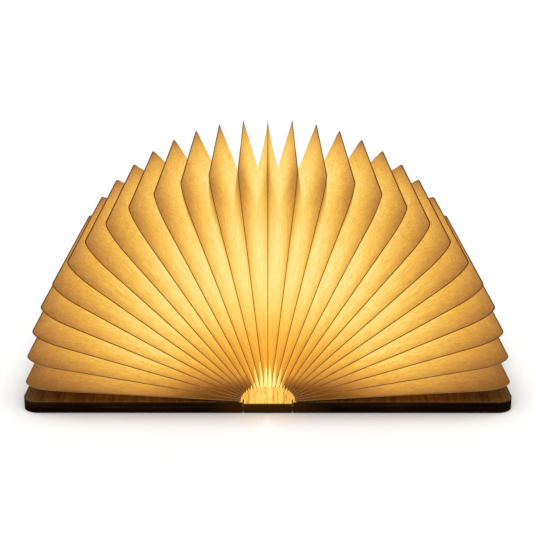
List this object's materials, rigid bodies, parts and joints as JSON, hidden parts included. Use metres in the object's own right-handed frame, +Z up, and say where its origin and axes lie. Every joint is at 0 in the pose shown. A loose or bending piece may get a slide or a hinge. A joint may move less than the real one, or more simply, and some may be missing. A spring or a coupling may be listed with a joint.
{
  "type": "folding book lamp",
  "caption": "Lamp shaped like a hardback book, open flat: two wooden covers and a spine board carry a half-round fan of pleated translucent paper pages over a light module.",
  "frame": {"origin": "on the table, under the middle of the spine board", "axes": "+X across the open book towards the right cover, +Y from the head edge to the tail edge, +Z up"},
  "size_m": [0.2118, 0.122, 0.1057],
  "materials": {
    "board_core": "charred laser-cut edge, matte",
    "inner_veneer": "oiled walnut veneer, satin",
    "outer_veneer": "oiled walnut veneer, satin",
    "hinge_cloth": "woven tape, matte",
    "seam": "glued and pressed seam of two paper leaves, matte",
    "paper": "translucent nonwoven paper, lit from inside, matte",
    "glue_strip": "nonwoven paper, matte",
    "magnet": "nickel-plated, polished",
    "tray_plastic": "white moulded plastic, matte",
    "diffuser_plastic": "opal moulded plastic, matte",
    "screw_steel": "zinc-plated, satin",
    "battery_pouch": "foil pouch, satin",
    "foam_tape": "double-sided foam tape, matte",
    "led_board_mask": "white solder mask on glass-fibre board, matte",
    "led_package": "LED package with phosphor, glossy",
    "charging_board_mask": "green solder mask on glass-fibre board, matte",
    "socket_steel": "drawn steel shell, satin",
    "sensor_package": "moulded chip package, matte",
    "indicator_package": "LED package, glossy",
    "clear_plastic": "clear moulded plastic, glossy",
    "black_wire": "insulated wire, matte",
    "red_wire": "insulated wire, matte"
  },
  "bodies": {
    "spine": {"spine_core": "board_core", "spine_inner_veneer": "inner_veneer", "spine_outer_veneer": "outer_veneer", "left_hinge_cloth": "hinge_cloth", "right_hinge_cloth": "hinge_cloth", "module_tray": "tray_plastic", "module_screws": "screw_steel", "battery": "battery_pouch", "battery_tape": "foam_tape", "led_board": "led_board_mask", "led_chips": "led_package", "diffuser": "diffuser_plastic", "charging_board": "charging_board_mask", "usb_socket": "socket_steel", "hall_sensor": "sensor_package", "charge_indicator": "indicator_package", "light_pipe": "clear_plastic", "battery_leads": "black_wire", "led_leads": "red_wire"},
    "left_cover": {"left_cover_core": "board_core", "left_cover_inner_veneer": "inner_veneer", "left_cover_outer_veneer": "outer_veneer", "left_cover_magnets": "magnet", "sensor_magnet": "magnet", "left_glue_strip": "glue_strip"},
    "right_cover": {"right_cover_core": "board_core", "right_cover_inner_veneer": "inner_veneer", "right_cover_outer_veneer": "outer_veneer", "right_cover_magnets": "magnet", "right_glue_strip": "glue_strip"},
    "middle_page": {"page_14": "seam", "left_leaves": "paper", "right_leaves": "paper"},
    "page_01": {"page_01": "seam"},
    "page_02": {"page_02": "seam"},
    "page_03": {"page_03": "seam"},
    "page_04": {"page_04": "seam"},
    "page_05": {"page_05": "seam"},
    "page_06": {"page_06": "seam"},
    "page_07": {"page_07": "seam"},
    "page_08": {"page_08": "seam"},
    "page_09": {"page_09": "seam"},
    "page_10": {"page_10": "seam"},
    "page_11": {"page_11": "seam"},
    "page_12": {"page_12": "seam"},
    "page_13": {"page_13": "seam"},
    "page_15": {"page_15": "seam"},
    "page_16": {"page_16": "seam"},
    "page_17": {"page_17": "seam"},
    "page_18": {"page_18": "seam"},
    "page_19": {"page_19": "seam"},
    "page_20": {"page_20": "seam"},
    "page_21": {"page_21": "seam"},
    "page_22": {"page_22": "seam"},
    "page_23": {"page_23": "seam"},
    "page_24": {"page_24": "seam"},
    "page_25": {"page_25": "seam"},
    "page_26": {"page_26": "seam"},
    "page_27": {"page_27": "seam"}
  },
  "joints": [
    {"name": "left_cover_hinge", "type": "hinge", "parent": "spine", "child": "left_cover", "pos_m": [-0.01055, 0, 0.005], "axis": [0, 1, 0], "range_deg": [0, 90], "deforming": ["left_leaves", "left_hinge_cloth"]},
    {"name": "right_cover_hinge", "type": "hinge", "parent": "spine", "child": "right_cover", "pos_m": [0.01055, 0, 0.005], "axis": [0, -1, 0], "range_deg": [0, 90], "deforming": ["right_leaves", "right_hinge_cloth"]},
    {"name": "page_block_slide", "type": "slide", "parent": "spine", "child": "middle_page", "axis": [0, 0, -1], "range_m": [0, 0.0034]},
    {"name": "page_01_hinge", "type": "hinge", "parent": "middle_page", "child": "page_01", "pos_m": [-0.0086, 0, 0.0049], "axis": [0, 1, 0], "range_deg": [0, 86.55]},
    {"name": "page_02_hinge", "type": "hinge", "parent": "middle_page", "child": "page_02", "pos_m": [-0.0086, 0, 0.0049], "axis": [0, 1, 0], "range_deg": [0, 79.66]},
    {"name": "page_03_hinge", "type": "hinge", "parent": "middle_page", "child": "page_03", "pos_m": [-0.0086, 0, 0.0049], "axis": [0, 1, 0], "range_deg": [0, 72.78]},
    {"name": "page_04_hinge", "type": "hinge", "parent": "middle_page", "child": "page_04", "pos_m": [-0.0086, 0, 0.0049], "axis": [0, 1, 0], "range_deg": [0, 65.94]},
    {"name": "page_05_hinge", "type": "hinge", "parent": "middle_page", "child": "page_05", "pos_m": [-0.0086, 0, 0.0049], "axis": [0, 1, 0], "range_deg": [0, 59.13]},
    {"name": "page_06_hinge", "type": "hinge", "parent": "middle_page", "child": "page_06", "pos_m": [-0.0086, 0, 0.0049], "axis": [0, 1, 0], "range_deg": [0, 52.38]},
    {"name": "page_07_hinge", "type": "hinge", "parent": "middle_page", "child": "page_07", "pos_m": [-0.0086, 0, 0.0049], "axis": [0, 1, 0], "range_deg": [0, 45.67]},
    {"name": "page_08_hinge", "type": "hinge", "parent": "middle_page", "child": "page_08", "pos_m": [-0.0086, 0, 0.0049], "axis": [0, 1, 0], "range_deg": [0, 39.02]},
    {"name": "page_09_hinge", "type": "hinge", "parent": "middle_page", "child": "page_09", "pos_m": [-0.0086, 0, 0.0049], "axis": [0, 1, 0], "range_deg": [0, 32.42]},
    {"name": "page_10_hinge", "type": "hinge", "parent": "middle_page", "child": "page_10", "pos_m": [-0.0086, 0, 0.0049], "axis": [0, 1, 0], "range_deg": [0, 25.87]},
    {"name": "page_11_hinge", "type": "hinge", "parent": "middle_page", "child": "page_11", "pos_m": [-0.0086, 0, 0.0049], "axis": [0, 1, 0], "range_deg": [0, 19.36]},
    {"name": "page_12_hinge", "type": "hinge", "parent": "middle_page", "child": "page_12", "pos_m": [-0.0086, 0, 0.0049], "axis": [0, 1, 0], "range_deg": [0, 12.89]},
    {"name": "page_13_hinge", "type": "hinge", "parent": "middle_page", "child": "page_13", "pos_m": [-0.0086, 0, 0.0049], "axis": [0, 1, 0], "range_deg": [0, 6.44]},
    {"name": "page_15_hinge", "type": "hinge", "parent": "middle_page", "child": "page_15", "pos_m": [0.0086, 0, 0.0049], "axis": [0, -1, 0], "range_deg": [0, 6.44]},
    {"name": "page_16_hinge", "type": "hinge", "parent": "middle_page", "child": "page_16", "pos_m": [0.0086, 0, 0.0049], "axis": [0, -1, 0], "range_deg": [0, 12.89]},
    {"name": "page_17_hinge", "type": "hinge", "parent": "middle_page", "child": "page_17", "pos_m": [0.0086, 0, 0.0049], "axis": [0, -1, 0], "range_deg": [0, 19.36]},
    {"name": "page_18_hinge", "type": "hinge", "parent": "middle_page", "child": "page_18", "pos_m": [0.0086, 0, 0.0049], "axis": [0, -1, 0], "range_deg": [0, 25.87]},
    {"name": "page_19_hinge", "type": "hinge", "parent": "middle_page", "child": "page_19", "pos_m": [0.0086, 0, 0.0049], "axis": [0, -1, 0], "range_deg": [0, 32.42]},
    {"name": "page_20_hinge", "type": "hinge", "parent": "middle_page", "child": "page_20", "pos_m": [0.0086, 0, 0.0049], "axis": [0, -1, 0], "range_deg": [0, 39.02]},
    {"name": "page_21_hinge", "type": "hinge", "parent": "middle_page", "child": "page_21", "pos_m": [0.0086, 0, 0.0049], "axis": [0, -1, 0], "range_deg": [0, 45.67]},
    {"name": "page_22_hinge", "type": "hinge", "parent": "middle_page", "child": "page_22", "pos_m": [0.0086, 0, 0.0049], "axis": [0, -1, 0], "range_deg": [0, 52.38]},
    {"name": "page_23_hinge", "type": "hinge", "parent": "middle_page", "child": "page_23", "pos_m": [0.0086, 0, 0.0049], "axis": [0, -1, 0], "range_deg": [0, 59.13]},
    {"name": "page_24_hinge", "type": "hinge", "parent": "middle_page", "child": "page_24", "pos_m": [0.0086, 0, 0.0049], "axis": [0, -1, 0], "range_deg": [0, 65.94]},
    {"name": "page_25_hinge", "type": "hinge", "parent": "middle_page", "child": "page_25", "pos_m": [0.0086, 0, 0.0049], "axis": [0, -1, 0], "range_deg": [0, 72.78]},
    {"name": "page_26_hinge", "type": "hinge", "parent": "middle_page", "child": "page_26", "pos_m": [0.0086, 0, 0.0049], "axis": [0, -1, 0], "range_deg": [0, 79.66]},
    {"name": "page_27_hinge", "type": "hinge", "parent": "middle_page", "child": "page_27", "pos_m": [0.0086, 0, 0.0049], "axis": [0, -1, 0], "range_deg": [0, 86.55]}
  ],
  "couplings": [
    {"joint": "right_cover_hinge", "follows": "left_cover_hinge", "ratio": 1},
    {"joint": "page_block_slide", "follows": "left_cover_hinge", "m_per_rad": 0.0021645},
    {"joint": "page_01_hinge", "follows": "left_cover_hinge", "ratio": 0.96167},
    {"joint": "page_02_hinge", "follows": "left_cover_hinge", "ratio": 0.88509},
    {"joint": "page_03_hinge", "follows": "left_cover_hinge", "ratio": 0.80871},
    {"joint": "page_04_hinge", "follows": "left_cover_hinge", "ratio": 0.73266},
    {"joint": "page_05_hinge", "follows": "left_cover_hinge", "ratio": 0.65704},
    {"joint": "page_06_hinge", "follows": "left_cover_hinge", "ratio": 0.58195},
    {"joint": "page_07_hinge", "follows": "left_cover_hinge", "ratio": 0.50743},
    {"joint": "page_08_hinge", "follows": "left_cover_hinge", "ratio": 0.4335},
    {"joint": "page_09_hinge", "follows": "left_cover_hinge", "ratio": 0.36017},
    {"joint": "page_10_hinge", "follows": "left_cover_hinge", "ratio": 0.28738},
    {"joint": "page_11_hinge", "follows": "left_cover_hinge", "ratio": 0.21508},
    {"joint": "page_12_hinge", "follows": "left_cover_hinge", "ratio": 0.14316},
    {"joint": "page_13_hinge", "follows": "left_cover_hinge", "ratio": 0.071511},
    {"joint": "page_15_hinge", "follows": "left_cover_hinge", "ratio": 0.071511},
    {"joint": "page_16_hinge", "follows": "left_cover_hinge", "ratio": 0.14316},
    {"joint": "page_17_hinge", "follows": "left_cover_hinge", "ratio": 0.21508},
    {"joint": "page_18_hinge", "follows": "left_cover_hinge", "ratio": 0.28738},
    {"joint": "page_19_hinge", "follows": "left_cover_hinge", "ratio": 0.36017},
    {"joint": "page_20_hinge", "follows": "left_cover_hinge", "ratio": 0.4335},
    {"joint": "page_21_hinge", "follows": "left_cover_hinge", "ratio": 0.50743},
    {"joint": "page_22_hinge", "follows": "left_cover_hinge", "ratio": 0.58195},
    {"joint": "page_23_hinge", "follows": "left_cover_hinge", "ratio": 0.65704},
    {"joint": "page_24_hinge", "follows": "left_cover_hinge", "ratio": 0.73266},
    {"joint": "page_25_hinge", "follows": "left_cover_hinge", "ratio": 0.80871},
    {"joint": "page_26_hinge", "follows": "left_cover_hinge", "ratio": 0.88509},
    {"joint": "page_27_hinge", "follows": "left_cover_hinge", "ratio": 0.96167}
  ]
}
